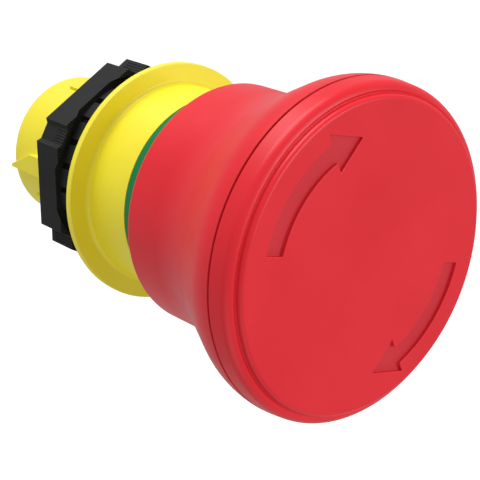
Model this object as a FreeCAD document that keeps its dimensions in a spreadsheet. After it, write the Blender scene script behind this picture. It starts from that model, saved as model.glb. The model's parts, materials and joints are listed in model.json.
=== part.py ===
import FreeCAD, Part
import Sketcher
import math
import os
import re

from FreeCAD import Placement, Rotation, Vector

# Emergency stop operator for a 22 mm panel hole: push to latch, turn the head to release.
#
# Every sub-part is drawn with its own +Z along the button's axis, pointing forward out of
# the panel, and +Y up. One placement then turns the axis to face -Y with +Z up. Forward
# distances are counted from the panel's front face, so what lies behind it is negative.

SIZES = {
    # mushroom head
    "head_radius": 20.0,
    "neck_radius": 15.1,
    "skirt_rear": 12.0,
    "skirt_edge_round": 0.5,
    "skirt_bore": 13.45,
    "flare_start": 20.85,
    "flare_end": 30.75,
    "flare_hollow_round": 15.5,
    "flare_crown_round": 8.0,
    "seam_forward": 32.65,
    "seam_gap": 0.25,
    "mouth_radius": 17.9,
    "web_front": 29.25,
    "web_rear": 27.65,
    "web_edge_radius": 16.7,
    "hub_rear": 23.45,
    "hub_radius": 6.8,
    "hub_bore": 4.07,
    # front cap
    "shoulder_radius": 19.75,
    "shoulder_forward": 35.35,
    "shoulder_round": 1.2,
    "cove_radius": 18.9,
    "cove_forward": 35.6,
    "plate_radius": 18.5,
    "face_forward": 36.35,
    "plate_edge_round": 0.5,
    "cap_wall": 1.8,
    "rim_inner_radius": 16.3,
    "rim_outer_radius": 17.83,
    # turn arrows in the face
    "arrow_depth": 0.45,
    "arrow_mid_radius": 14.4,
    "arrow_shaft_width": 2.4,
    "arrow_head_width": 5.0,
    "arrow_tail_angle": 164.3,
    "arrow_neck_angle": 112.3,
    "arrow_tip_angle": 95.3,
    # bezel housing
    "flange_radius": 15.45,
    "flange_thickness": 0.95,
    "flange_edge_round": 0.15,
    "collar_foot_radius": 12.85,
    "collar_foot_forward": 1.1,
    "collar_foot_round": 0.6,
    "collar_top_radius": 12.7,
    "collar_top": 8.25,
    "band_seat_radius": 11.6,
    "band_radius": 12.65,
    "housing_front": 16.55,
    "housing_bore": 9.2,
    "web_hole_radius": 6.3,
    "guide_front": -4.75,
    "guide_rear": -7.75,
    "socket_radius": 8.3,
    "socket_floor": -14.75,
    "pusher_bore": 8.0,
    "spigot_radius": 9.55,
    "spigot_end": -21.35,
    "spigot_edge_round": 0.9,
    "barrel_radius": 11.0,
    "barrel_rear": -9.3,
    "thread_first": -2.2,
    "thread_pitch": 1.5,
    "thread_depth": 0.6,
    "thread_groove_width": 0.9,
    "thread_grooves": 5,
    "gasket_radius": 13.7,
    "gasket_thickness": 0.5,
    "lug_radius": 10.6,
    "lug_half_width": 1.4,
    "lug_angle": -2.5,
    "lug_tip": -20.25,
    "lug_short_shoulder": -15.85,
    "rib_radius": 10.0,
    "rib_half_width": 0.9,
    "rib_rear": -17.25,
    "rib_angle": 31.0,
    "rib_second_angle": 101.0,
    # panel nut and its washer
    "nut_flats": 25.66,
    "nut_corner_radius": 14.05,
    "nut_rear": -9.95,
    "nut_front": -5.35,
    "nut_recess": 0.7,
    "nut_recess_flats": 25.4,
    "nut_bore": 11.06,
    "nut_notch_width": 2.1,
    "nut_notch_mouth": 3.09,
    "nut_notch_depth": 0.45,
    "nut_notch_floor": 13.47,
    "nut_vee_bottom": 13.1,
    "nut_vee_width": 0.3,
    "washer_front": -3.9,
    "washer_radius": 12.2,
    "washer_teeth": 24,
    "washer_tooth_depth": 0.6,
    "washer_gap_floor": 0.6,
    "washer_gap_mouth": 1.4,
    # stem and what it carries
    "stem_rod_radius": 5.0,
    "stem_body_radius": 6.8,
    "stem_flange_radius": 9.0,
    "stem_spindle_radius": 4.0,
    "stem_bore": 3.65,
    "stem_front_bore": 2.3,
    "stem_rear": -11.75,
    "stem_step": 6.25,
    "stem_bore_end": 14.55,
    "stem_flange_rear": 21.85,
    "stem_flange_front": 22.85,
    "stem_front": 29.15,
    "stop_width": 1.5,
    "stop_inner": 5.8,
    "stop_outer": 6.6,
    "stop_height": 1.4,
    "twist_travel": 45.0,
    "pusher_radius": 7.7,
    "pusher_thickness": 2.6,
    "pusher_plug_length": 5.0,
    "cross_pin_radius": 0.8,
    "cross_pin_forward": -9.75,
    # latch
    "latch_forward": 11.75,
    "latch_head_radius": 1.25,
    "latch_shank_radius": 0.6,
    "latch_inner_end": 2.95,
    "latch_shoulder": 5.4,
    "latch_tip": 7.2,
    "latch_seat": 4.3,
    "latch_wire": 0.2,
    "sleeve_front": 14.25,
    "sleeve_rear": 4.75,
    "sleeve_outer": 9.15,
    "sleeve_front_bore": 7.15,
    "sleeve_rear_bore": 8.67,
    # springs, seals and fastenings
    "spring_radius": 6.0,
    "spring_wire": 1.0,
    "spring_turns": 5,
    "torsion_radius": 7.9,
    "torsion_wire": 0.8,
    "torsion_turns": 4,
    "washer_sheet": 0.5,
    "seal_front": 15.65,
    "running_gap": 0.07,
    "cam_radius": 3.58,
    "cam_rear": 7.75,
    "cam_neck_radius": 2.7,
    "cam_half_length": 1.2,
    "cam_half_width": 2.2,
    "head_washer_thickness": 0.8,
    "screw_radius": 1.25,
    "screw_head_radius": 2.8,
    "screw_head_height": 1.8,
    "screw_length": 7.0,
    "driver_slot_length": 3.2,
    "driver_slot_width": 0.7,
    "driver_slot_depth": 1.0,
}

FACING_FRONT = Placement(Vector(), Rotation(Vector(1, 0, 0), 90))

doc = FreeCAD.newDocument("emergency_stop_button")
sheet = doc.addObject("Spreadsheet::Sheet", "sizes")
for row, (alias, number) in enumerate(SIZES.items(), start=1):
    sheet.set(f"A{row}", alias.replace("_", " "))
    sheet.set(f"B{row}", str(number))
    sheet.setAlias(f"B{row}", alias)
doc.recompute()

subparts = []


def bound(text):
    """The expression for a constraint or property: each size word gets the sheet's name."""
    return re.sub(r"\b[a-z][a-z_]+\b(?!\()", lambda word: "sizes." + word.group(0), str(text))


def value(text):
    """The number that an expression in size words gives now."""
    return float(sheet.evalExpression(str(text)))


def finish(part, node, placement=FACING_FRONT):
    """Give a sub-part its node name and its place, and list it for export."""
    part.Label = node
    part.Placement = placement
    subparts.append(part)
    return part


def new_body(node):
    return doc.addObject("PartDesign::Body", node)


def new_sketch(body, name, plane, offset=None):
    """A sketch on one of the body's own origin planes, moved by an optional placement."""
    sketch = body.newObject("Sketcher::SketchObject", name)
    base = next(item for item in body.Origin.OriginFeatures if item.Role == plane)
    sketch.AttachmentSupport = (base, [""])
    sketch.MapMode = "FlatFace"
    if offset:
        sketch.AttachmentOffset = offset
    return sketch


def hold_point(sketch, geometry, end, across, up):
    """Bind one end of a piece of sketch geometry to two expressions."""
    for kind, text in (("DistanceX", across), ("DistanceY", up)):
        rule = Sketcher.Constraint(kind, -1, 1, geometry, end, value(text))
        number = sketch.addConstraint(rule)
        sketch.setExpression(f"Constraints[{number}]", bound(text))


def hold_radius(sketch, geometry, text):
    number = sketch.addConstraint(Sketcher.Constraint("Radius", geometry, value(text)))
    sketch.setExpression(f"Constraints[{number}]", bound(text))


def draw_outline(sketch, corners):
    """A closed outline through the corners, each (across, up) or (across, up, round)."""
    count = len(corners)
    spots = [Vector(value(corner[0]), value(corner[1]), 0) for corner in corners]
    starts, ends, arcs = list(spots), list(spots), {}
    for i, corner in enumerate(corners):
        if len(corner) < 3:
            continue
        back = (spots[i - 1] - spots[i]).normalize()
        ahead = (spots[(i + 1) % count] - spots[i]).normalize()
        half = back.getAngle(ahead) / 2
        radius = value(corner[2])
        run = radius / math.tan(half)
        ends[i] = spots[i] + back * run
        starts[i] = spots[i] + ahead * run
        centre = spots[i] + (back + ahead).normalize() * (radius / math.sin(half))
        turns_left = (back.y * ahead.x - back.x * ahead.y) > 0
        first, last = (ends[i], starts[i]) if turns_left else (starts[i], ends[i])
        angles = [math.atan2(p.y - centre.y, p.x - centre.x) for p in (first, last)]
        circle = Part.Circle(centre, Vector(0, 0, 1), radius)
        arcs[i] = (Part.ArcOfCircle(circle, *angles), turns_left)
    lines = [
        sketch.addGeometry(Part.LineSegment(starts[i], ends[(i + 1) % count]), False)
        for i in range(count)
    ]
    for i, corner in enumerate(corners):
        before, after = lines[i - 1], lines[i]
        if i not in arcs:
            sketch.addConstraint(Sketcher.Constraint("Coincident", before, 2, after, 1))
            hold_point(sketch, after, 1, corner[0], corner[1])
            continue
        shape, turns_left = arcs[i]
        arc = sketch.addGeometry(shape, False)
        arc_from, arc_to = (1, 2) if turns_left else (2, 1)
        sketch.addConstraint(Sketcher.Constraint("Tangent", before, 2, arc, arc_from))
        sketch.addConstraint(Sketcher.Constraint("Tangent", arc, arc_to, after, 1))
        hold_radius(sketch, arc, corner[2])
        mark = sketch.addGeometry(Part.Point(spots[i]), True)
        sketch.addConstraint(Sketcher.Constraint("PointOnObject", mark, 1, before))
        sketch.addConstraint(Sketcher.Constraint("PointOnObject", mark, 1, after))
        hold_point(sketch, mark, 1, corner[0], corner[1])


def draw_circle(sketch, across, up, radius):
    circle = Part.Circle(Vector(value(across), value(up), 0), Vector(0, 0, 1), value(radius))
    number = sketch.addGeometry(circle, False)
    hold_point(sketch, number, 3, across, up)
    hold_radius(sketch, number, radius)


def revolve(body, name, corners, kind="PartDesign::Revolution", angle=360, start=0):
    """Turn an outline, given as (radius, forward) corners, about the body's axis."""
    offset = Placement(Vector(), Rotation(Vector(0, 1, 0), start)) if start else None
    sketch = new_sketch(body, name + "_outline", "XZ_Plane", offset)
    draw_outline(sketch, corners)
    turned = body.newObject(kind, name)
    turned.Profile = (sketch, [""])
    turned.ReferenceAxis = (sketch, ["V_Axis"])
    turned.Angle = angle
    doc.recompute()
    return turned


def turned_body(node, corners):
    body = new_body(node)
    revolve(body, node + "_turned", corners)
    return body


def volume(body):
    doc.recompute()
    return body.Shape.Volume


def extrude(body, name, sketch, kind, length=None, midplane=False):
    """Pad or pocket a sketch; the side that changes the solid is found by its volume."""
    before = volume(body)
    feature = body.newObject(kind, name)
    feature.Profile = (sketch, [""])
    if length is None:
        feature.Type = "ThroughAll"
    else:
        feature.Length = value(length)
        feature.setExpression("Length", bound(length))
    feature.Midplane = midplane
    if abs(volume(body) - before) < 1e-6:
        feature.Reversed = True
    if abs(volume(body) - before) < 1e-6:
        raise ValueError(name + " changes nothing")
    return feature


def repeat_around(body, feature, sketch, count, axis="N_Axis"):
    """Repeat a feature evenly round one of its sketch's axes."""
    pattern = body.newObject("PartDesign::PolarPattern", feature.Name + "_round")
    pattern.Originals = [feature]
    pattern.Axis = (sketch, [axis])
    pattern.Angle = 360
    pattern.Occurrences = int(value(count))
    pattern.setExpression("Occurrences", bound(count))
    body.Tip = pattern
    doc.recompute()
    return pattern


def ring(node, inner, outer, rear, front):
    """A plain ring: two radii and its rear and front faces."""
    return turned_body(node, [(inner, rear), (outer, rear), (outer, front), (inner, front)])


def coil(node, radius, wire, rear, front, turns, left_handed=False):
    """A helical spring of round wire that fills the space from rear to front."""
    body = new_body(node)
    sketch = new_sketch(body, node + "_wire", "XZ_Plane")
    draw_circle(sketch, radius, f"{rear} + {wire} * 0.55", f"{wire} / 2")
    helix = body.newObject("PartDesign::AdditiveHelix", node + "_helix")
    helix.Profile = (sketch, [""])
    helix.ReferenceAxis = (sketch, ["V_Axis"])
    helix.Mode = "height-turns-angle"
    rise = f"({front}) - ({rear}) - {wire} * 1.1"
    helix.Height = value(rise)
    helix.setExpression("Height", bound(rise))
    helix.Turns = value(turns)
    helix.setExpression("Turns", bound(turns))
    helix.LeftHanded = left_handed
    helix.Reversed = False
    doc.recompute()
    return body


# ---- mushroom head ----------------------------------------------------------------------


def mushroom_skirt():
    """Flared outer shell, a web across its mouth and the hub that turns on the stem."""
    body = turned_body("mushroom_skirt", [
        ("skirt_bore", "skirt_rear"),
        ("neck_radius", "skirt_rear", "skirt_edge_round"),
        ("neck_radius", "flare_start", "flare_hollow_round"),
        ("head_radius", "flare_end", "flare_crown_round"),
        ("head_radius", "seam_forward"),
        ("mouth_radius", "seam_forward"),
        ("mouth_radius", "web_front"),
        ("hub_bore", "web_front"),
        ("hub_bore", "hub_rear"),
        ("hub_radius", "hub_rear"),
        ("hub_radius", "web_rear"),
        ("web_edge_radius", "web_rear"),
        ("skirt_bore", "flare_start + 0.3"),
    ])
    # The stop recess in the hub's rear face takes the stem's stop through the whole turn.
    lug_angle = math.degrees(math.atan2(value("stop_width") / 2, value("stop_inner")))
    clear = 1.0
    revolve(
        body,
        "stop_recess",
        [
            ("stop_inner - 0.1", "hub_rear - 0.1"),
            ("hub_radius + 0.1", "hub_rear - 0.1"),
            ("hub_radius + 0.1", "stem_flange_front + stop_height + 0.2"),
            ("stop_inner - 0.1", "stem_flange_front + stop_height + 0.2"),
        ],
        kind="PartDesign::Groove",
        angle=value("twist_travel") + 2 * (lug_angle + clear),
        start=90 - lug_angle - clear,
    )
    finish(body, "mushroom_skirt")


def arrow_outline(sketch):
    """One curved arrow round the face's centre: shaft of two arcs and a pointed head."""
    reach = {
        "inner": "(arrow_mid_radius - arrow_shaft_width / 2)",
        "outer": "(arrow_mid_radius + arrow_shaft_width / 2)",
        "barb_in": "(arrow_mid_radius - arrow_head_width / 2)",
        "barb_out": "(arrow_mid_radius + arrow_head_width / 2)",
        "tip": "arrow_mid_radius",
    }

    def spot(radius, angle):
        return f"{reach[radius]} * cos({angle})", f"{reach[radius]} * sin({angle})"

    stops = [
        spot("outer", "arrow_tail_angle"),
        spot("outer", "arrow_neck_angle"),
        spot("barb_out", "arrow_neck_angle"),
        spot("tip", "arrow_tip_angle"),
        spot("barb_in", "arrow_neck_angle"),
        spot("inner", "arrow_neck_angle"),
        spot("inner", "arrow_tail_angle"),
    ]
    places = [Vector(value(across), value(up), 0) for across, up in stops]
    tail, neck = (math.radians(value(a)) for a in ("arrow_tail_angle", "arrow_neck_angle"))
    shaft = []
    for side in ("outer", "inner"):
        circle = Part.Circle(Vector(), Vector(0, 0, 1), value(reach[side]))
        arc = sketch.addGeometry(Part.ArcOfCircle(circle, neck, tail), False)
        sketch.addConstraint(Sketcher.Constraint("Coincident", arc, 3, -1, 1))
        shaft.append(arc)
    outer_arc, inner_arc = shaft
    chain = [(outer_arc, 2, outer_arc, 1)]
    for i in range(1, 5):
        line = sketch.addGeometry(Part.LineSegment(places[i], places[i + 1]), False)
        chain.append((line, 1, line, 2))
    chain.append((inner_arc, 1, inner_arc, 2))
    line = sketch.addGeometry(Part.LineSegment(places[6], places[0]), False)
    chain.append((line, 1, line, 2))
    for i, (piece, end, _, _) in enumerate(chain):
        _, _, piece_before, end_before = chain[i - 1]
        sketch.addConstraint(Sketcher.Constraint("Coincident", piece_before, end_before, piece, end))
    for i, (piece, end, _, _) in enumerate(chain):
        if piece == outer_arc or piece == inner_arc:
            hold_point(sketch, piece, end, *stops[i])
        elif chain[i - 1][0] == outer_arc or chain[i - 1][0] == inner_arc:
            # The arc fixes this point's distance from the centre, so one direction is enough.
            rule = Sketcher.Constraint("DistanceX", -1, 1, piece, end, value(stops[i][0]))
            number = sketch.addConstraint(rule)
            sketch.setExpression(f"Constraints[{number}]", bound(stops[i][0]))
        else:
            hold_point(sketch, piece, end, *stops[i])


def front_cap():
    """Closing face of the head: rounded shoulder, cove, raised plate with two turn arrows."""
    body = turned_body("front_cap", [
        ("0", "face_forward - cap_wall"),
        ("rim_inner_radius", "face_forward - cap_wall"),
        ("rim_inner_radius", "web_front"),
        ("rim_outer_radius", "web_front"),
        ("rim_outer_radius", "seam_forward + seam_gap"),
        ("head_radius", "seam_forward + seam_gap"),
        ("shoulder_radius", "shoulder_forward", "shoulder_round"),
        ("cove_radius", "cove_forward"),
        ("plate_radius", "cove_forward - 0.15"),
        ("plate_radius", "face_forward", "plate_edge_round"),
        ("0", "face_forward"),
    ])
    sketch = new_sketch(body, "arrow_outline", "XY_Plane")
    sketch.setExpression("AttachmentOffset.Base.z", bound("face_forward"))
    arrow_outline(sketch)
    arrow = extrude(body, "arrow_recess", sketch, "PartDesign::Pocket", "arrow_depth")
    repeat_around(body, arrow, sketch, 2)
    finish(body, "front_cap")


# ---- housing and what is fixed in it ----------------------------------------------------


def spigot_rib(body, name, angle, corners, radius):
    """A rib on the spigot at an angle from +X towards the top, and its twin opposite."""
    turn = Placement(Vector(), Rotation(Vector(0, 1, 0), angle))
    sketch = new_sketch(body, name + "_outline", "YZ_Plane", turn)
    draw_outline(sketch, corners)
    rib = extrude(body, name, sketch, "PartDesign::Pad", radius)
    repeat_around(body, rib, sketch, 2, axis="V_Axis")


def bezel_housing():
    """Flange and collar in front of the panel, threaded barrel and bayonet spigot behind."""
    body = turned_body("bezel_housing", [
        ("socket_radius", "spigot_end"),
        ("spigot_radius", "spigot_end", "spigot_edge_round"),
        ("spigot_radius", "barrel_rear - 0.5"),
        ("barrel_radius", "barrel_rear"),
        ("barrel_radius", "gasket_thickness"),
        ("gasket_radius", "gasket_thickness"),
        ("gasket_radius", "0"),
        ("flange_radius", "0"),
        ("flange_radius", "flange_thickness", "flange_edge_round"),
        ("collar_foot_radius", "collar_foot_forward", "collar_foot_round"),
        ("collar_top_radius", "collar_top"),
        ("band_seat_radius", "collar_top"),
        ("band_seat_radius", "housing_front"),
        ("housing_bore", "housing_front"),
        ("housing_bore", "guide_front"),
        ("web_hole_radius", "guide_front"),
        ("web_hole_radius", "guide_rear"),
        ("pusher_bore", "guide_rear"),
        ("pusher_bore", "socket_floor"),
        ("socket_radius", "socket_floor"),
    ])
    groove = revolve(
        body,
        "thread_groove",
        [
            ("barrel_radius - thread_depth", "thread_first"),
            ("barrel_radius + 0.1", "thread_first + thread_groove_width / 2"),
            ("barrel_radius + 0.1", "thread_first - thread_groove_width / 2"),
        ],
        kind="PartDesign::Groove",
    )
    thread = body.newObject("PartDesign::LinearPattern", "thread")
    thread.Originals = [groove]
    thread.Direction = (groove.Profile[0], ["V_Axis"])
    thread.Reversed = True
    run = "thread_pitch * (thread_grooves - 1)"
    thread.Length = value(run)
    thread.setExpression("Length", bound(run))
    thread.Occurrences = int(value("thread_grooves"))
    thread.setExpression("Occurrences", bound("thread_grooves"))
    body.Tip = thread
    doc.recompute()
    # A pair of bayonet lugs whose points face the rear, then two pairs of low ribs.
    lug_corners = [
        ("lug_half_width * 0.6", "lug_tip"),
        ("lug_half_width * 0.9", "lug_tip"),
        ("lug_half_width", "barrel_rear"),
        ("0 - lug_half_width", "barrel_rear"),
        ("0 - lug_half_width", "lug_short_shoulder"),
    ]
    spigot_rib(body, "bayonet_lug", value("lug_angle"), lug_corners, "lug_radius")
    rib_corners = [
        ("rib_half_width", "rib_rear"),
        ("rib_half_width", "barrel_rear"),
        ("0 - rib_half_width", "barrel_rear"),
        ("0 - rib_half_width", "rib_rear"),
    ]
    for name in ("rib_angle", "rib_second_angle"):
        spigot_rib(body, name.replace("angle", "on_spigot"), value(name), rib_corners,
                   "rib_radius")
    revolve(
        body,
        "socket_cleared",
        [
            ("0", "spigot_end - 1"),
            ("socket_radius", "spigot_end - 1"),
            ("socket_radius", "socket_floor"),
            ("pusher_bore", "socket_floor"),
            ("pusher_bore", "guide_rear"),
            ("0", "guide_rear"),
        ],
        kind="PartDesign::Groove",
    )
    finish(body, "bezel_housing")


def indicator_ring():
    finish(
        ring("indicator_ring", "band_seat_radius", "band_radius", "collar_top", "housing_front"),
        "indicator_ring",
    )


def panel_gasket():
    finish(
        ring("panel_gasket", "barrel_radius", "gasket_radius", "0", "gasket_thickness"),
        "panel_gasket",
    )


def guide_bush():
    """Flanged bush in the housing's inner web, in which the stem's rod slides."""
    body = turned_body("guide_bush", [
        ("stem_rod_radius + running_gap", "guide_rear"),
        ("web_hole_radius", "guide_rear"),
        ("web_hole_radius", "guide_front"),
        ("web_hole_radius + 1.2", "guide_front"),
        ("web_hole_radius + 1.2", "guide_front + 0.6"),
        ("stem_rod_radius + running_gap", "guide_front + 0.6"),
    ])
    finish(body, "guide_bush")


def latch_sleeve():
    """Hardened sleeve, wider towards the rear, that lets the latch pins move out."""
    body = turned_body("latch_sleeve", [
        ("sleeve_rear_bore", "sleeve_rear"),
        ("sleeve_outer", "sleeve_rear"),
        ("sleeve_outer", "sleeve_front"),
        ("sleeve_front_bore", "sleeve_front"),
    ])
    finish(body, "latch_sleeve")


def stem_seal():
    """Rubber ring in the housing's mouth with a lip on the stem."""
    body = turned_body("stem_seal", [
        ("stem_body_radius + running_gap", "sleeve_front + 0.5"),
        ("housing_bore", "sleeve_front"),
        ("housing_bore", "seal_front"),
        ("stem_body_radius + 1.0", "seal_front"),
        ("stem_body_radius + 0.9", "sleeve_front + 0.9"),
        ("stem_body_radius + running_gap", "sleeve_front + 0.9"),
    ])
    finish(body, "stem_seal")


def seal_retainer():
    finish(
        ring("seal_retainer", "stem_body_radius + 0.4", "housing_bore", "seal_front",
             "housing_front"),
        "seal_retainer",
    )


def spring_washer():
    finish(
        ring("spring_washer", "stem_rod_radius + 0.3", "housing_bore - 0.6",
             "guide_front + 0.6", "guide_front + 0.6 + washer_sheet"),
        "spring_washer",
    )


# ---- panel nut --------------------------------------------------------------------------


def fixing_nut():
    """Hexagonal panel nut: notches at its corners and a recess in its front face."""
    body = turned_body("fixing_nut", [
        ("nut_bore", "nut_rear"),
        ("nut_corner_radius", "nut_rear"),
        ("nut_corner_radius", "nut_front"),
        ("nut_bore", "nut_front"),
    ])
    flat = new_sketch(body, "flat_outline", "XY_Plane")
    draw_outline(flat, [
        ("nut_flats / 2", "0 - nut_corner_radius"),
        ("nut_corner_radius + 1", "0 - nut_corner_radius"),
        ("nut_corner_radius + 1", "nut_corner_radius"),
        ("nut_flats / 2", "nut_corner_radius"),
    ])
    side = extrude(body, "nut_flat", flat, "PartDesign::Pocket", "30", midplane=True)
    repeat_around(body, side, flat, 6)
    # Corners take turns: a notch with a flat floor, then a deeper one shaped like a vee.
    mouth = "nut_notch_floor + nut_notch_depth"
    for name, sign, floor, width in (
        ("vee", "", "nut_vee_bottom", "nut_vee_width"),
        ("notch", "0 - ", "nut_notch_floor", "nut_notch_width"),
    ):
        notch = new_sketch(body, f"{name}_outline", "XY_Plane")
        draw_outline(notch, [
            (f"0 - {width} / 2", f"{sign}({floor})"),
            (f"{width} / 2", f"{sign}({floor})"),
            ("nut_notch_mouth / 2", f"{sign}({mouth})"),
            ("nut_notch_mouth / 2", f"{sign}({mouth} + 1)"),
            ("0 - nut_notch_mouth / 2", f"{sign}({mouth} + 1)"),
            ("0 - nut_notch_mouth / 2", f"{sign}({mouth})"),
        ])
        corner = extrude(body, f"nut_{name}", notch, "PartDesign::Pocket", "30", midplane=True)
        repeat_around(body, corner, notch, 3)
    # The recess is a hexagon turned half a step, so it leaves a raised pad at each corner.
    recess = new_sketch(body, "recess_outline", "XY_Plane")
    recess.setExpression("AttachmentOffset.Base.z", bound("nut_front"))
    reach = "nut_recess_flats / 2 / cos(30)"
    draw_outline(recess, [
        (f"{reach} * cos({60 * corner_number})", f"{reach} * sin({60 * corner_number})")
        for corner_number in range(6)
    ])
    extrude(body, "front_recess", recess, "PartDesign::Pocket", "nut_recess")
    finish(body, "fixing_nut")


def lock_washer():
    """Toothed washer that bites the panel while the nut turns behind it."""
    body = ring("lock_washer", "nut_bore", "washer_radius", "nut_front - nut_recess",
                "washer_front")
    sketch = new_sketch(body, "tooth_gap", "XY_Plane")
    draw_outline(sketch, [
        ("washer_radius - washer_tooth_depth", "0 - washer_gap_floor / 2"),
        ("washer_radius + 1", "0 - washer_gap_mouth / 2"),
        ("washer_radius + 1", "washer_gap_mouth / 2"),
        ("washer_radius - washer_tooth_depth", "washer_gap_floor / 2"),
    ])
    gap = extrude(body, "washer_gap", sketch, "PartDesign::Pocket", "30", midplane=True)
    repeat_around(body, gap, sketch, "washer_teeth")
    finish(body, "lock_washer")


# ---- stem, pusher and latch -------------------------------------------------------------


def plunger_stem():
    """Stepped tube: rod in the guide, body with the latch pins, flange and front spindle."""
    body = turned_body("plunger_stem", [
        ("stem_bore", "stem_rear"),
        ("stem_rod_radius", "stem_rear"),
        ("stem_rod_radius", "stem_step"),
        ("stem_body_radius", "stem_step"),
        ("stem_body_radius", "stem_flange_rear"),
        ("stem_flange_radius", "stem_flange_rear"),
        ("stem_flange_radius", "stem_flange_front"),
        ("stem_spindle_radius", "stem_flange_front"),
        ("stem_spindle_radius", "stem_front"),
        ("stem_front_bore", "stem_front"),
        ("stem_front_bore", "stem_bore_end"),
        ("stem_bore", "stem_bore_end"),
    ])
    shank_hole = new_sketch(body, "latch_hole", "YZ_Plane")
    draw_circle(shank_hole, "0", "latch_forward", "latch_shank_radius + running_gap")
    extrude(body, "latch_bore", shank_hole, "PartDesign::Pocket", "30", midplane=True)
    for side, turn in (("right", 0), ("left", 180)):
        seat = new_sketch(body, f"latch_seat_{side}", "YZ_Plane",
                          Placement(Vector(), Rotation(Vector(0, 1, 0), turn)))
        seat.setExpression("AttachmentOffset.Base.z",
                           bound("latch_seat" if turn == 0 else "0 - latch_seat"))
        draw_circle(seat, "0", "latch_forward", "latch_head_radius + running_gap")
        pocket = body.newObject("PartDesign::Pocket", f"latch_counterbore_{side}")
        pocket.Profile = (seat, [""])
        pocket.Type = "ThroughAll"
        pocket.Reversed = True
        doc.recompute()
    cross_hole = new_sketch(body, "cross_hole", "XZ_Plane")
    draw_circle(cross_hole, "0", "cross_pin_forward", "cross_pin_radius")
    extrude(body, "cross_bore", cross_hole, "PartDesign::Pocket", "30", midplane=True)
    stop = new_sketch(body, "stop_outline", "XY_Plane")
    stop.setExpression("AttachmentOffset.Base.z", bound("stem_flange_front"))
    draw_outline(stop, [
        ("0 - stop_width / 2", "stop_inner"),
        ("stop_width / 2", "stop_inner"),
        ("stop_width / 2", "stop_outer"),
        ("0 - stop_width / 2", "stop_outer"),
    ])
    extrude(body, "turn_stop", stop, "PartDesign::Pad", "stop_height")
    finish(body, "plunger_stem")


def contact_pusher():
    """Disc that presses the contact blocks, plugged into the stem's rear end."""
    body = turned_body("contact_pusher", [
        ("0", "stem_rear - pusher_thickness"),
        ("pusher_radius", "stem_rear - pusher_thickness", "0.4"),
        ("pusher_radius", "stem_rear"),
        ("stem_bore - 0.02", "stem_rear"),
        ("stem_bore - 0.02", "stem_rear + pusher_plug_length"),
        ("0", "stem_rear + pusher_plug_length"),
    ])
    hole = new_sketch(body, "plug_hole", "XZ_Plane")
    draw_circle(hole, "0", "cross_pin_forward", "cross_pin_radius")
    extrude(body, "plug_bore", hole, "PartDesign::Pocket", "30", midplane=True)
    finish(body, "contact_pusher")


def pusher_pin():
    """Cross pin through the stem and the pusher's plug, lying up and down."""
    pin = doc.addObject("Part::Cylinder", "pusher_pin")
    pin.setExpression("Radius", bound("cross_pin_radius"))
    pin.setExpression("Height", bound("stem_rod_radius * 2 - 0.4"))
    middle = Vector(0, -value("cross_pin_forward"), -value("stem_rod_radius") + 0.2)
    finish(pin, "pusher_pin", Placement(middle, Rotation()))


def latch_pin(side, direction):
    """Headed pin in the stem's cross bore; its rounded nose runs in the tapered sleeve."""
    body = turned_body(f"latch_pin_{side}", [
        ("0", "latch_inner_end"),
        ("latch_shank_radius", "latch_inner_end"),
        ("latch_shank_radius", "latch_shoulder"),
        ("latch_head_radius", "latch_shoulder"),
        ("latch_head_radius", "latch_tip", "0.4"),
        ("0", "latch_tip"),
    ])
    finish(body, f"latch_pin_{side}", latch_place(direction))


def latch_spring(side, direction):
    """Small coil round the pin's shank that presses the pin outwards."""
    body = coil(f"latch_spring_{side}", "latch_shank_radius + 0.35", "latch_wire",
                "latch_seat", "latch_shoulder", 4)
    finish(body, f"latch_spring_{side}", latch_place(direction))


def latch_place(direction):
    """Turns a pin's own axis to +X or -X and moves it to the latch's forward station."""
    return Placement(Vector(0, -value("latch_forward"), 0),
                     Rotation(Vector(0, 1, 0), 90 * direction))


def cam_spindle():
    """Shaft through the stem, turned by the head; its oval cam lies between the pins."""
    body = turned_body("cam_spindle", [
        ("0", "cam_rear"),
        ("cam_radius", "cam_rear"),
        ("cam_radius", "latch_forward - cam_half_length"),
        ("cam_neck_radius", "latch_forward - cam_half_length"),
        ("cam_neck_radius", "latch_forward + cam_half_length"),
        ("cam_radius", "latch_forward + cam_half_length"),
        ("cam_radius", "stem_bore_end - 0.1"),
        ("stem_front_bore - running_gap", "stem_bore_end - 0.1"),
        ("stem_front_bore - running_gap", "web_front"),
        ("screw_radius", "web_front"),
        ("screw_radius", "web_front - screw_length"),
        ("0", "web_front - screw_length"),
    ])
    flats = new_sketch(body, "cam_flats", "XY_Plane")
    flats.setExpression("AttachmentOffset.Base.z", bound("latch_forward - cam_half_length"))
    draw_outline(flats, [
        ("cam_half_width", "0 - cam_radius - 1"),
        ("cam_radius + 1", "0 - cam_radius - 1"),
        ("cam_radius + 1", "cam_radius + 1"),
        ("cam_half_width", "cam_radius + 1"),
    ])
    face = extrude(body, "cam_face", flats, "PartDesign::Pocket", "cam_half_length * 2")
    face.Reversed = True
    doc.recompute()
    repeat_around(body, face, flats, 2)
    finish(body, "cam_spindle")


# ---- springs and head fastening ---------------------------------------------------------


def return_spring():
    body = coil("return_spring", "spring_radius", "spring_wire",
                "guide_front + 0.6 + washer_sheet", "stem_step", "spring_turns")
    finish(body, "return_spring")


def torsion_spring():
    body = coil("torsion_spring", "torsion_radius", "torsion_wire",
                "stem_flange_front", "web_rear", "torsion_turns", left_handed=True)
    finish(body, "torsion_spring")


def bearing_washer():
    finish(
        ring("bearing_washer", "stem_spindle_radius + 0.1", "stop_inner - 0.2",
             "stem_flange_front", "hub_rear - 0.05"),
        "bearing_washer",
    )


def head_washer():
    finish(
        ring("head_washer", "screw_radius + 0.15", "hub_radius - 0.6", "web_front",
             "web_front + head_washer_thickness"),
        "head_washer",
    )


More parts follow.
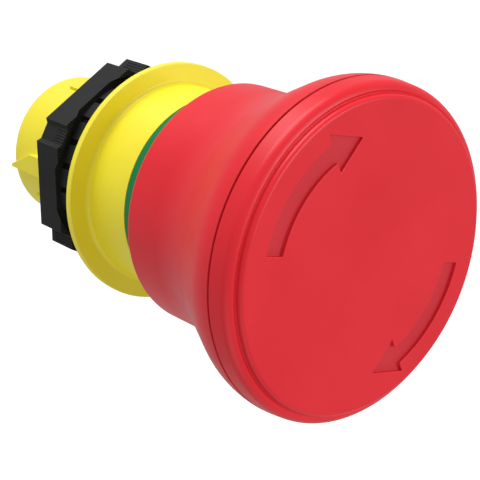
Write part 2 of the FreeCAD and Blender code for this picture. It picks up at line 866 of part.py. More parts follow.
def head_screw():
    """Cross-recessed pan head screw into the front end of the cam spindle."""
    body = turned_body("head_screw", [
        ("0", "web_front + head_washer_thickness - screw_length"),
        ("screw_radius", "web_front + head_washer_thickness - screw_length"),
        ("screw_radius", "web_front + head_washer_thickness"),
        ("screw_head_radius", "web_front + head_washer_thickness"),
        ("screw_head_radius", "web_front + head_washer_thickness + screw_head_height", "0.8"),
        ("0", "web_front + head_washer_thickness + screw_head_height"),
    ])
    recess = new_sketch(body, "driver_slot", "XY_Plane")
    recess.setExpression("AttachmentOffset.Base.z",
                         bound("web_front + head_washer_thickness + screw_head_height"))
    draw_outline(recess, [
        ("0 - driver_slot_length / 2", "0 - driver_slot_width / 2"),
        ("driver_slot_length / 2", "0 - driver_slot_width / 2"),
        ("driver_slot_length / 2", "driver_slot_width / 2"),
        ("0 - driver_slot_length / 2", "driver_slot_width / 2"),
    ])
    slot = extrude(body, "driver_slot_cut", recess, "PartDesign::Pocket", "driver_slot_depth")
    pattern = repeat_around(body, slot, recess, 2)
    pattern.Angle = 180
    finish(body, "head_screw")


BUILDERS = [
    mushroom_skirt, front_cap, bezel_housing, indicator_ring, panel_gasket, guide_bush,
    latch_sleeve, stem_seal, seal_retainer, spring_washer, fixing_nut, lock_washer,
    plunger_stem, contact_pusher, pusher_pin, cam_spindle, return_spring, torsion_spring,
    bearing_washer, head_washer, head_screw,
]
for build in BUILDERS:
    build()
for side, direction in (("right", 1), ("left", -1)):
    latch_pin(side, direction)
    latch_spring(side, direction)

doc.recompute()
for item in doc.Objects:
    if "Invalid" in item.State or "Error" in item.State:
        raise ValueError(f"{item.Label} did not build: {item.State}")
os.makedirs("parts", exist_ok=True)
for part in subparts:
    if part.Shape.isNull() or not part.Shape.isValid():
        raise ValueError(f"{part.Label} has no valid shape")
    part.Shape.exportStep(f"parts/{part.Label}.step")
    solids = len(part.Shape.Solids)
    print(f"{part.Label}: {solids} solid, {part.Shape.Volume:.2f} mm3")
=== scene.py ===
import json
import math

import bmesh
import bpy
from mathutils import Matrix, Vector


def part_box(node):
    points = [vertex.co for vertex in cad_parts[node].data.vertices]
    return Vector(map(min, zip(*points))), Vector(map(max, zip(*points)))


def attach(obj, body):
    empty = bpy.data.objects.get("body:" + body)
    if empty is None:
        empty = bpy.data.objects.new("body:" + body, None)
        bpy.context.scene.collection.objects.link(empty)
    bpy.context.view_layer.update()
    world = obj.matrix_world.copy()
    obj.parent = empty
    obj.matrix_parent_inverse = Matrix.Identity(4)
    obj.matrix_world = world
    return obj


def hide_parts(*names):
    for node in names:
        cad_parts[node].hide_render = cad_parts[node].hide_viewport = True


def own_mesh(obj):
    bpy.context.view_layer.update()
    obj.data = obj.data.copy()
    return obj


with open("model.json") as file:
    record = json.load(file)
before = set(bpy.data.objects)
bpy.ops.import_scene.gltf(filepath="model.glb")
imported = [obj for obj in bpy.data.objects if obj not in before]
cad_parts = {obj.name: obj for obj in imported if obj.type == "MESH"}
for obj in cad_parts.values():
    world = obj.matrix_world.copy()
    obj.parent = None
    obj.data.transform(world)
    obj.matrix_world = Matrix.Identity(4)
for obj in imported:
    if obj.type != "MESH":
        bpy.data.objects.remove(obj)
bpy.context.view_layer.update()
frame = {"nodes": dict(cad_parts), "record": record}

# Emergency stop operator. The button's axis is Y and the head faces -Y. Outlines are given in
# millimetres as (radius, forward), where forward is the distance in front of the panel (-Y).

MM = 0.001


def forward_span(node):
    """How far a CAD node reaches back and forward along the button's axis, in mm."""
    low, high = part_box(node)
    return -high.y / MM, -low.y / MM


def outer_radius(node):
    low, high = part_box(node)
    return max(high.x, high.z) / MM


# Sizes that come from the frame.
HEAD_RADIUS = outer_radius("mushroom_skirt")
SKIRT_REAR, SEAM = forward_span("mushroom_skirt")
CAP_REAR, FACE = forward_span("front_cap")
SPIGOT_END, HOUSING_FRONT = forward_span("bezel_housing")
FLANGE_RADIUS = outer_radius("bezel_housing")
BAND_REAR, BAND_FRONT = forward_span("indicator_ring")
BAND_RADIUS = outer_radius("indicator_ring")
NUT_REAR, NUT_FRONT = forward_span("fixing_nut")
GASKET_RADIUS = outer_radius("panel_gasket")
GASKET_THICKNESS = forward_span("panel_gasket")[1]

# Head skirt. A name that ends in ROUND is the radius of a rounded edge.
NECK_RADIUS, SKIRT_BORE = 15.1, 13.45
MOUTH_INNER_ROUND, MOUTH_OUTER_ROUND = 0.3, 0.5
FLARE_START, FLARE_END = 20.85, 30.75
FLARE_ROUND, CROWN_ROUND = 15.5, 8.0
HOLLOW_RADIUS, HOLLOW_START = 16.7, FLARE_START + 0.3
HUB_RADIUS, HUB_BORE, HUB_REAR, WEB_REAR = 6.8, 4.07, 23.45, 27.65
CAP_SEAT, CAP_SEAT_ROUND, SEAM_ROUND = 17.9, 0.1, 0.12

# Face cap and its arrows, whose angles are in degrees from +X towards +Z.
SEAM_GAP = 0.25
PLUG_RADIUS, WELL_RADIUS, WELL_ROUND, PLATE_THICKNESS = 17.83, 16.3, 0.4, 1.8
SHOULDER_RADIUS, SHOULDER_FORWARD, SHOULDER_ROUND = 19.75, 35.35, 1.2
COVE_RADIUS, COVE_FORWARD, COVE_DEPTH, COVE_ROUND = 18.9, 35.6, 0.15, 0.15
FACE_RADIUS, FACE_ROUND = 18.5, 0.5
ARROW_DEPTH = 0.45
ARROW_MID, ARROW_SHAFT, ARROW_HEAD = 14.4, 2.4, 5.0
ARROW_TAIL, ARROW_NECK, ARROW_TIP = 164.3, 112.3, 95.3
ARROW_EDGE = 0.07

# Housing: flange, tapered collar, threaded barrel and spigot.
FLANGE_THICKNESS, FLANGE_REAR_ROUND, FLANGE_FRONT_ROUND = 0.95, 0.2, 0.15
FOOT_RADIUS, FOOT_FORWARD, FOOT_ROUND, COLLAR_TOP = 12.85, 1.1, 0.6, 12.7
SPIGOT_RADIUS, SPIGOT_INNER_ROUND, SPIGOT_OUTER_ROUND = 9.55, 0.3, 0.9
SOCKET_RADIUS, SOCKET_FLOOR, PUSHER_BORE = 8.3, -14.75, 8.0
GUIDE_FRONT, GUIDE_REAR, GUIDE_HOLE = -4.75, -7.75, 6.3
HOUSING_BORE, BAND_SEAT = 9.2, 11.6
GASKET_SEAT_ROUND = 0.1
BARREL_RADIUS, BARREL_REAR, BARREL_CHAMFER = 11.0, -9.3, 0.5

# Thread: its groove's half width at the mouth and at the floor is a part of the pitch.
THREAD_PITCH, THREAD_DEPTH, THREAD_FRONT = 1.5, 0.6, -1.0
THREAD_MOUTH, THREAD_FLOOR = 0.42, 0.084
THREAD_FADE_REAR, THREAD_FADE_FRONT = 0.5, 0.6
THREAD_STEP = 0.15

# Bayonet lugs and key ribs on the spigot, with angles in degrees and each place given twice,
# half a turn apart.
LUG_RADIUS, LUG_ANGLE = 10.6, -2.5
LUG_SIDE, LUG_TIP_RIGHT, LUG_TIP_LEFT = 1.4, 1.26, 0.84
LUG_END, LUG_SHOULDER = -20.25, -15.85
RIB_RADIUS, RIB_ANGLES = 10.0, (31, 101)
RIB_SIDE, RIB_END = 0.9, -17.25
RIB_ROOT, RIB_EDGE = 0.5, 0.12

# Green band and gasket.
BAND_REAR_ROUND, BAND_FRONT_ROUND = 0.1, 0.2
GASKET_ROUND = 0.15

# Panel nut. A shallow notch and a deeper one like a vee take turns on its corners. The half
# width of a flat's cutter is a part of the corner radius, and a serration's of its pitch.
NUT_FLATS, NUT_CORNER, NUT_BORE = 25.66, 14.05, 11.06
NUT_REAR_ROUND, NUT_FRONT_ROUND, NUT_EDGE = 0.3, 0.1, 0.06
FLAT_HALF_WIDTH = 0.46
NOTCH_FLOOR, NOTCH_DEPTH, NOTCH_WIDTH, NOTCH_MOUTH = 13.47, 0.45, 2.1, 3.09
VEE_BOTTOM, VEE_WIDTH = 13.1, 0.3
PAD_FLATS, PAD_HEIGHT, PAD_SLOPE = 26.0, 0.73, 0.5
SERRATION_PITCH, SERRATION_DEPTH, SERRATION_LIFT = 0.36, 0.13, 0.05
SERRATION_HALF_WIDTH, SERRATIONS_EACH_SIDE = 0.42, 7
FLOOR_MARGIN, FLOOR_RUN = 0.2, 1.9
VEE_MARGIN, VEE_START = 0.1, 0.9
PAD_MARGIN = 0.5

# Return spring.
SPRING_RADIUS, SPRING_WIRE, SPRING_TURNS, STROKE = 6.0, 1.0, 5, 5.0
STEPS_PER_TURN, WIRE_SIDES = 32, 12

# How far a cutter passes the surface that it cuts, and the segments of turned pieces.
CLEAR = 1.0
LARGE_SEGMENTS, RING_SEGMENTS, NUT_SEGMENTS = 192, 160, 144

SIXTHS = [math.radians(60 * side) for side in range(6)]
VEE_CORNERS, NOTCH_CORNERS = SIXTHS[0::2], SIXTHS[1::2]


# ---- outlines and meshes ----------------------------------------------------------------


def rounded(corners, steps=8):
    """Points of a closed outline; a corner given as (radius, forward, round) becomes an arc."""
    points = []
    for i, corner in enumerate(corners):
        here = Vector(corner[:2])
        if len(corner) < 3:
            points.append(here)
            continue
        back = (Vector(corners[i - 1][:2]) - here).normalized()
        ahead = (Vector(corners[(i + 1) % len(corners)][:2]) - here).normalized()
        half = back.angle(ahead) / 2
        run = corner[2] / math.tan(half)
        centre = here + (back + ahead).normalized() * (corner[2] / math.sin(half))
        first, last = here + back * run - centre, here + ahead * run - centre
        swing = first.angle_signed(last)
        for step in range(steps + 1):
            points.append(centre + Vector(turn_point(*first, -swing * step / steps)))
    return points


def dense(points, longest):
    """The same closed outline with its long sides divided."""
    out = []
    for i, here in enumerate(points):
        there = points[(i + 1) % len(points)]
        count = max(1, math.ceil((there - here).length / longest))
        out += [here.lerp(there, step / count) for step in range(count)]
    return out


def turn_point(across, up, angle):
    cos, sin = math.cos(angle), math.sin(angle)
    return across * cos - up * sin, across * sin + up * cos


def turned(across, up, forward, angle):
    """Coordinates in metres of a point in mm, turned about the button's axis."""
    x, z = turn_point(across, up, angle)
    return Vector((x, -forward, z)) * MM


def smooth(obj, sharp=35):
    obj.data.shade_smooth()
    obj.data.set_sharp_from_angle(angle=math.radians(sharp))


def new_object(name, mesh_builder, sharp=35):
    mesh = bpy.data.meshes.new(name)
    bm = bmesh.new()
    mesh_builder(bm)
    bmesh.ops.recalc_face_normals(bm, faces=bm.faces)
    bm.to_mesh(mesh)
    bm.free()
    obj = bpy.data.objects.new(name, mesh)
    bpy.context.scene.collection.objects.link(obj)
    smooth(obj, sharp)
    return obj


def tube(bm, ring, following):
    """Quads between two rings of vertices that run the same way."""
    for i, corner in enumerate(ring):
        j = (i + 1) % len(ring)
        bm.faces.new((corner, following[i], following[j], ring[j]))


def skin(bm, ends):
    """Close the space between two matching loops of vertices."""
    bm.faces.new(ends[0])
    bm.faces.new(ends[1])
    tube(bm, *ends)


def lathe(name, points, segments, shape=None, sharp=35):
    """A solid turned from a closed outline. shape may change a radius by forward and angle."""
    def ring_at(bm, point):
        ring = []
        for k in range(segments):
            angle = math.tau * k / segments
            radius = shape(point.x, point.y, angle) if shape else point.x
            ring.append(bm.verts.new(turned(radius, 0, point.y, angle)))
        return ring

    def build(bm):
        rings = [ring_at(bm, point) if point.x > 0 else None for point in points]
        for i, ring in enumerate(rings):
            following = rings[(i + 1) % len(rings)]
            if ring and following:
                tube(bm, ring, following)
            elif ring or following:
                bm.faces.new(ring or following)
    return new_object(name, build, sharp)


def prism(name, outline, rear, front, turns=(0,), taper=0.0):
    """Blocks along the button's axis, one per turn; the outline is (x, z) points in mm.

    The taper is the part by which the outline shrinks at the rear and grows at the front.
    """
    def build(bm):
        for turn in turns:
            skin(bm, [
                [bm.verts.new(turned(x * scale, z * scale, forward, turn)) for x, z in outline]
                for forward, scale in ((rear, 1 - taper), (front, 1 + taper))
            ])
    return new_object(name, build)


def apply(obj):
    """Bake an object's modifiers into its mesh."""
    graph = bpy.context.evaluated_depsgraph_get()
    mesh = bpy.data.meshes.new_from_object(obj.evaluated_get(graph))
    obj.modifiers.clear()
    obj.data = mesh


def cut(obj, cutter):
    """Take the cutter's shape out of an object, and remove the cutter."""
    modifier = obj.modifiers.new("cut", "BOOLEAN")
    modifier.object = cutter
    modifier.operation = "DIFFERENCE"
    modifier.solver = "EXACT"
    apply(obj)
    bpy.data.objects.remove(cutter)


def settle_normals(obj):
    """Let large flat faces rule the shading, so that only the rounds beside them curve."""
    modifier = obj.modifiers.new("normals", "WEIGHTED_NORMAL")
    modifier.weight = 100
    modifier.keep_sharp = True
    apply(obj)


def soften(obj, width, limit=40):
    """Round every edge sharper than the limit in degrees, as moulding does."""
    modifier = obj.modifiers.new("edges", "BEVEL")
    modifier.width = width * MM
    modifier.segments = 2
    modifier.limit_method = "ANGLE"
    modifier.angle_limit = math.radians(limit)
    apply(obj)
    smooth(obj, 50)
    settle_normals(obj)


def join(obj, others):
    """Merge the other objects' meshes into the first."""
    bm = bmesh.new()
    bm.from_mesh(obj.data)
    for other in others:
        bm.from_mesh(other.data)
        bpy.data.objects.remove(other)
    bm.to_mesh(obj.data)
    bm.free()


# ---- materials --------------------------------------------------------------------------

# Noise scales: pigment clouds, marks of handling, wear at edges, and two sizes of grain.
CLOUDS, HANDLING, WEAR, COARSE_GRAIN, FINE_GRAIN = 90, 140, 500, 2600, 9000
# The same for metal: tone, gloss and scratches. Brushed metal has them 14 times as close
# together along the axis, so that they run round it.
TONE, GLOSS, SCRATCHES = 400, 900, 3000
BRUSHED, PLAIN = (1.0, 14.0, 1.0), (1.0, 1.0, 1.0)
# How closely the bevelled normal follows the true one on a flat and at an edge.
FLAT_MATCH, EDGE_MATCH = 0.995, 0.90
EDGE_REACH = 0.25


def new_material(name):
    material = bpy.data.materials.new(name)
    material.use_nodes = True
    nodes, links = material.node_tree.nodes, material.node_tree.links
    shader = nodes["Principled BSDF"]
    where = nodes.new("ShaderNodeTexCoord").outputs["Object"]
    return material, nodes, links, shader, where


def noise(nodes, links, where, scale, detail=3.0, roughness=0.5):
    node = nodes.new("ShaderNodeTexNoise")
    node.inputs["Scale"].default_value = scale
    node.inputs["Detail"].default_value = detail
    node.inputs["Roughness"].default_value = roughness
    links.new(where, node.inputs["Vector"])
    return node.outputs["Fac"]


def spread(nodes, links, fac, low, high):
    """Map 0.3..0.7, where noise mostly lies, to a range of values."""
    node = nodes.new("ShaderNodeMapRange")
    node.inputs["From Min"].default_value = 0.3
    node.inputs["From Max"].default_value = 0.7
    node.inputs["To Min"].default_value = low
    node.inputs["To Max"].default_value = high
    links.new(fac, node.inputs["Value"])
    return node.outputs["Result"]


def combine(nodes, links, operation, first, second):
    node = nodes.new("ShaderNodeMath")
    node.operation = operation
    links.new(first, node.inputs[0])
    links.new(second, node.inputs[1])
    return node.outputs[0]


def edge_mask(nodes, links):
    """1 near convex and concave edges, 0 on flats: where the bevelled normal differs."""
    bevel = nodes.new("ShaderNodeBevel")
    bevel.samples = 4
    bevel.inputs["Radius"].default_value = EDGE_REACH * MM
    geometry = nodes.new("ShaderNodeNewGeometry")
    dot = nodes.new("ShaderNodeVectorMath")
    dot.operation = "DOT_PRODUCT"
    links.new(bevel.outputs["Normal"], dot.inputs[0])
    links.new(geometry.outputs["Normal"], dot.inputs[1])
    node = nodes.new("ShaderNodeMapRange")
    node.inputs["From Min"].default_value = FLAT_MATCH
    node.inputs["From Max"].default_value = EDGE_MATCH
    links.new(dot.outputs["Value"], node.inputs["Value"])
    return node.outputs["Result"]


def mix_colour(nodes, links, fac, first, second):
    """Inputs 6 and 7 and output 2 are the Mix node's colour sockets."""
    node = nodes.new("ShaderNodeMix")
    node.data_type = "RGBA"
    links.new(fac, node.inputs["Factor"])
    for socket, colour in ((node.inputs[6], first), (node.inputs[7], second)):
        if isinstance(colour, tuple):
            socket.default_value = (*colour, 1.0)
        else:
            links.new(colour, socket)
    return node.outputs[2]


def roughen(nodes, links, shader, height, strength, distance):
    """Bump the surface by a height; the distance is in mm."""
    bump = nodes.new("ShaderNodeBump")
    bump.inputs["Strength"].default_value = strength
    bump.inputs["Distance"].default_value = distance * MM
    links.new(height, bump.inputs["Height"])
    links.new(bump.outputs["Normal"], shader.inputs["Normal"])


def moulded(name, colour, deeper, edge, roughness, grain, specular=0.5):
    """Moulded plastic: uneven pigment, fine spark-eroded grain, and edges worn a little paler."""
    material, nodes, links, shader, where = new_material(name)
    pigment = spread(nodes, links, noise(nodes, links, where, CLOUDS, 4), 0.0, 1.0)
    body = mix_colour(nodes, links, pigment, colour, deeper)
    patchy = spread(nodes, links, noise(nodes, links, where, WEAR), 0.1, 0.7)
    worn = combine(nodes, links, "MULTIPLY", edge_mask(nodes, links), patchy)
    links.new(mix_colour(nodes, links, worn, body, edge), shader.inputs["Base Color"])
    handled = noise(nodes, links, where, HANDLING, 5, 0.6)
    gloss = spread(nodes, links, handled, roughness - 0.05, roughness + 0.05)
    links.new(gloss, shader.inputs["Roughness"])
    height = combine(nodes, links, "ADD", noise(nodes, links, where, FINE_GRAIN, 2),
                     noise(nodes, links, where, COARSE_GRAIN, 2))
    roughen(nodes, links, shader, height, grain, 0.02)
    shader.inputs["Specular IOR Level"].default_value = specular
    return material


def metal(name, colour, deeper, roughness, stretch):
    """Plated or drawn steel: tone and gloss vary, with fine scratches stretched one way."""
    material, nodes, links, shader, where = new_material(name)
    mapping = nodes.new("ShaderNodeMapping")
    mapping.inputs["Scale"].default_value = stretch
    links.new(where, mapping.inputs["Vector"])
    along = mapping.outputs["Vector"]
    tone = spread(nodes, links, noise(nodes, links, along, TONE, 4), 0.0, 1.0)
    links.new(mix_colour(nodes, links, tone, colour, deeper), shader.inputs["Base Color"])
    gloss = spread(nodes, links, noise(nodes, links, along, GLOSS, 5), roughness - 0.08,
                   roughness + 0.1)
    links.new(gloss, shader.inputs["Roughness"])
    shader.inputs["Metallic"].default_value = 1.0
    roughen(nodes, links, shader, noise(nodes, links, along, SCRATCHES), 0.15, 0.01)
    return material


RED = moulded("finish_red_plastic", (0.76, 0.018, 0.030), (0.71, 0.014, 0.025),
              (0.82, 0.05, 0.06), roughness=0.36, grain=0.10, specular=0.3)
# Arrow recess floors: really rougher and more matte, and painted a darker red as the shade that
# falls in the recess.
RED_RECESS_MATTE_AND_SHADE = moulded("finish_red_recess_matte_and_painted_shade", (0.62, 0.020, 0.032), (0.56, 0.016, 0.027),
                    (0.68, 0.04, 0.05), roughness=0.60, grain=0.5, specular=0.35)
YELLOW = moulded("finish_yellow_plastic", (0.93, 0.81, 0.030), (0.88, 0.75, 0.025),
                 (0.95, 0.88, 0.10), roughness=0.38, grain=0.10)
GREEN = moulded("finish_green_plastic", (0.001, 0.205, 0.060), (0.001, 0.175, 0.05),
                (0.01, 0.27, 0.09), roughness=0.38, grain=0.10, specular=0.25)
NYLON = moulded("finish_black_nylon", (0.021, 0.021, 0.022), (0.016, 0.016, 0.017),
                (0.04, 0.04, 0.04), roughness=0.60, grain=0.35, specular=0.12)
BLACK = moulded("finish_black_plastic", (0.022, 0.022, 0.023), (0.016, 0.016, 0.017),
                (0.05, 0.05, 0.05), roughness=0.45, grain=0.25)
RUBBER = moulded("finish_black_rubber", (0.014, 0.014, 0.014), (0.010, 0.010, 0.010),
                 (0.04, 0.04, 0.04), roughness=0.75, grain=0.5)
ACETAL = moulded("finish_acetal", (0.72, 0.71, 0.67), (0.66, 0.65, 0.60),
                 (0.80, 0.79, 0.75), roughness=0.32, grain=0.08)
STEEL = metal("finish_plated_steel", (0.62, 0.62, 0.64), (0.50, 0.50, 0.52), 0.28, BRUSHED)
# Hardened steel painted near black: the dark colour is painted shade, so the steel reads as the
# shade under the flange.
SHADED_HARD_STEEL = metal("finish_hard_steel_painted_shade", (0.016, 0.016, 0.016), (0.009, 0.009, 0.009),
                   0.62, BRUSHED)
SPRING = metal("finish_spring_steel", (0.50, 0.50, 0.52), (0.36, 0.36, 0.38), 0.30, PLAIN)

MATERIALS = {
    "yellow_plastic": YELLOW, "red_plastic": RED, "green_plastic": GREEN,
    "black_nylon": NYLON, "black_plastic": BLACK, "black_rubber": RUBBER, "acetal": ACETAL,
    "plated_steel": STEEL, "hardened_steel": SHADED_HARD_STEEL, "spring_steel": SPRING,
}

SLOT_OF = {entry["node"]: entry["material_slot"] for entry in frame["record"]["subparts"]}
BODY_OF = {node: body for body, nodes in frame["record"]["behaviour"]["bodies"].items()
           for node in nodes}


def stand_for(obj, node):
    """The piece replaces a CAD node: it takes that node's slot and rides on its body."""
    if not obj.data.materials:
        obj.data.materials.append(MATERIALS[SLOT_OF[node]])
    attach(obj, BODY_OF[node])
    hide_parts(node)


# ---- mushroom head ----------------------------------------------------------------------


def build_skirt():
    obj = lathe("skirt_shell", rounded([
        (SKIRT_BORE, SKIRT_REAR, MOUTH_INNER_ROUND),
        (NECK_RADIUS, SKIRT_REAR, MOUTH_OUTER_ROUND),
        (NECK_RADIUS, FLARE_START, FLARE_ROUND),
        (HEAD_RADIUS, FLARE_END, CROWN_ROUND),
        (HEAD_RADIUS, SEAM, SEAM_ROUND),
        (CAP_SEAT, SEAM, CAP_SEAT_ROUND),
        (CAP_SEAT, CAP_REAR),
        (HUB_BORE, CAP_REAR),
        (HUB_BORE, HUB_REAR),
        (HUB_RADIUS, HUB_REAR),
        (HUB_RADIUS, WEB_REAR),
        (HOLLOW_RADIUS, WEB_REAR),
        (SKIRT_BORE, HOLLOW_START),
    ], 14), LARGE_SEGMENTS)
    stand_for(obj, "mushroom_skirt")


def arrow_outline():
    """Clockwise arrow as (x, z) points: an outer and an inner arc, and a pointed head."""
    def spot(radius, angle):
        return turn_point(radius, 0, math.radians(angle))

    half, barb = ARROW_SHAFT / 2, ARROW_HEAD / 2
    steps = 16
    sweep = [ARROW_TAIL + (ARROW_NECK - ARROW_TAIL) * k / steps for k in range(steps + 1)]
    points = [spot(ARROW_MID + half, angle) for angle in sweep]
    points.append(spot(ARROW_MID + barb, ARROW_NECK))
    points.append(spot(ARROW_MID, ARROW_TIP))
    points.append(spot(ARROW_MID - barb, ARROW_NECK))
    points += [spot(ARROW_MID - half, angle) for angle in reversed(sweep)]
    return points


def build_cap():
    obj = lathe("cap_disc", rounded([
        (0, FACE - PLATE_THICKNESS),
        (WELL_RADIUS, FACE - PLATE_THICKNESS, WELL_ROUND),
        (WELL_RADIUS, CAP_REAR),
        (PLUG_RADIUS, CAP_REAR),
        (PLUG_RADIUS, SEAM + SEAM_GAP),
        (HEAD_RADIUS, SEAM + SEAM_GAP, SEAM_ROUND),
        (SHOULDER_RADIUS, SHOULDER_FORWARD, SHOULDER_ROUND),
        (COVE_RADIUS, COVE_FORWARD, COVE_ROUND),
        (FACE_RADIUS, COVE_FORWARD - COVE_DEPTH, COVE_ROUND),
        (FACE_RADIUS, FACE, FACE_ROUND),
        (0, FACE),
    ], 10), LARGE_SEGMENTS)
    arrow_floor = FACE - ARROW_DEPTH
    cut(obj, prism("arrow_cutter", arrow_outline(), arrow_floor, FACE + CLEAR, (0, math.pi)))
    soften(obj, ARROW_EDGE, 60)
    obj.data.materials.append(RED)
    obj.data.materials.append(RED_RECESS_MATTE_AND_SHADE)
    # The arrow floors take the recess material, whose darker red is painted shade.
    for face in obj.data.polygons:
        if abs(face.center.y + arrow_floor * MM) < 0.02 * MM and abs(face.normal.y) > 0.9:
            face.material_index = 1
    stand_for(obj, "front_cap")


# ---- bezel housing, band and gasket -----------------------------------------------------


def thread(radius, forward, angle):
    """Helical thread: the barrel's radius dips into a flat-floored groove once per pitch."""
    if abs(radius - BARREL_RADIUS) > 1e-3 or not BARREL_REAR <= forward <= THREAD_FRONT:
        return radius
    phase = (forward / THREAD_PITCH + angle / math.tau) % 1.0
    groove = (THREAD_MOUTH - abs(phase - 0.5)) / (THREAD_MOUTH - THREAD_FLOOR)
    fade = min((forward - BARREL_REAR) / THREAD_FADE_REAR,
               (THREAD_FRONT - forward) / THREAD_FADE_FRONT)
    return radius - THREAD_DEPTH * max(0.0, min(1.0, groove)) * max(0.0, min(1.0, fade))


def spigot_rib(name, corners, angle, radius):
    """A raised shape on the spigot; corners are (across, forward) in mm."""
    def build(bm):
        levels = []
        for level in (SPIGOT_RADIUS - RIB_ROOT, radius):
            levels.append([
                bm.verts.new(turned(level, 0, forward, math.radians(angle) + across / radius))
                for across, forward in corners
            ])
        skin(bm, levels)
    obj = new_object(name, build)
    soften(obj, RIB_EDGE)
    return obj


def spigot_ribs():
    lug = [(LUG_TIP_LEFT, LUG_END), (LUG_TIP_RIGHT, LUG_END), (LUG_SIDE, BARREL_REAR),
           (-LUG_SIDE, BARREL_REAR), (-LUG_SIDE, LUG_SHOULDER)]
    rib = [(RIB_SIDE, RIB_END), (RIB_SIDE, BARREL_REAR), (-RIB_SIDE, BARREL_REAR),
           (-RIB_SIDE, RIB_END)]
    ribs = []
    for half_turn in (0, 180):
        ribs.append(spigot_rib("bayonet_lug", lug, half_turn + LUG_ANGLE, LUG_RADIUS))
        for angle in RIB_ANGLES:
            ribs.append(spigot_rib("key_rib", rib, half_turn + angle, RIB_RADIUS))
    return ribs


def build_housing():
    outline = rounded([
        (SOCKET_RADIUS, SPIGOT_END, SPIGOT_INNER_ROUND),
        (SPIGOT_RADIUS, SPIGOT_END, SPIGOT_OUTER_ROUND),
        (SPIGOT_RADIUS, BARREL_REAR - BARREL_CHAMFER),
        (BARREL_RADIUS, BARREL_REAR),
        (BARREL_RADIUS, GASKET_THICKNESS),
        (GASKET_RADIUS, GASKET_THICKNESS),
        (GASKET_RADIUS, 0.0, GASKET_SEAT_ROUND),
        (FLANGE_RADIUS, 0.0, FLANGE_REAR_ROUND),
        (FLANGE_RADIUS, FLANGE_THICKNESS, FLANGE_FRONT_ROUND),
        (FOOT_RADIUS, FOOT_FORWARD, FOOT_ROUND),
        (COLLAR_TOP, BAND_REAR),
        (BAND_SEAT, BAND_REAR),
        (BAND_SEAT, HOUSING_FRONT),
        (HOUSING_BORE, HOUSING_FRONT),
        (HOUSING_BORE, GUIDE_FRONT),
        (GUIDE_HOLE, GUIDE_FRONT),
        (GUIDE_HOLE, GUIDE_REAR),
        (PUSHER_BORE, GUIDE_REAR),
        (PUSHER_BORE, SOCKET_FLOOR),
        (SOCKET_RADIUS, SOCKET_FLOOR),
    ])
    obj = lathe("bezel_moulding", dense(outline, THREAD_STEP), LARGE_SEGMENTS, thread, 30)
    join(obj, spigot_ribs())
    smooth(obj, 30)
    stand_for(obj, "bezel_housing")


def build_band():
    obj = lathe("green_band", rounded([
        (BAND_SEAT, BAND_REAR),
        (BAND_RADIUS, BAND_REAR, BAND_REAR_ROUND),
        (BAND_RADIUS, BAND_FRONT, BAND_FRONT_ROUND),
        (BAND_SEAT, BAND_FRONT),
    ]), RING_SEGMENTS)
    stand_for(obj, "indicator_ring")


def build_gasket():
    obj = lathe("flange_gasket", rounded([
        (BARREL_RADIUS, 0.0, GASKET_ROUND),
        (BARREL_RADIUS, GASKET_THICKNESS),
        (GASKET_RADIUS, GASKET_THICKNESS),
        (GASKET_RADIUS, 0.0, GASKET_ROUND),
    ]), RING_SEGMENTS)
    stand_for(obj, "panel_gasket")


# ---- panel nut --------------------------------------------------------------------------


def shape_hexagon(obj):
    """Cut the flats and notches into a turned blank, and leave pads standing on its front."""
    reach, span = NUT_CORNER + 2 * CLEAR, NUT_CORNER * FLAT_HALF_WIDTH
    flat = [(NUT_FLATS / 2, -span), (reach, -span), (reach, span), (NUT_FLATS / 2, span)]
    cut(obj, prism("flat_cutter", flat, NUT_REAR - CLEAR, NUT_FRONT + CLEAR, SIXTHS))
    mouth, shoulder = NOTCH_MOUTH / 2, NOTCH_FLOOR + NOTCH_DEPTH
    for width, floor, turns in ((NOTCH_WIDTH, NOTCH_FLOOR, NOTCH_CORNERS),
                                (VEE_WIDTH, VEE_BOTTOM, VEE_CORNERS)):
        notch = [(-width / 2, floor), (width / 2, floor), (mouth, shoulder), (mouth, reach),
                 (-mouth, reach), (-mouth, shoulder)]
        cut(obj, prism("notch_cutter", notch, NUT_REAR - CLEAR, NUT_FRONT + CLEAR, turns))
    pad = PAD_FLATS / 2
    corner = pad / math.cos(math.pi / 6)
    recess = [turn_point(0, corner, turn + math.pi / 6) for turn in SIXTHS]
    cut(obj, prism("recess_cutter", recess, NUT_FRONT - PAD_HEIGHT, NUT_FRONT + PAD_HEIGHT,
                   taper=PAD_SLOPE / pad))


def cut_grooves(obj, spans, turns):
    """Cut V-shaped grooves at some of the nut's corners.

    A span is two ends as (across, outward, forward) in mm and the way the groove sinks.
    """
    side = Vector((SERRATION_PITCH * SERRATION_HALF_WIDTH, 0, 0))

    def build(bm):
        for turn in turns:
            for start, end, sink in spans:
                ends = []
                for spot in (Vector(start), Vector(end)):
                    lifted = spot - Vector(sink) * SERRATION_LIFT
                    bottom = spot + Vector(sink) * SERRATION_DEPTH
                    corners = (lifted - side, lifted + side, bottom)
                    ends.append([bm.verts.new(turned(*corner, turn)) for corner in corners])
                skin(bm, ends)
    cut(obj, new_object("serration_cutter", build))


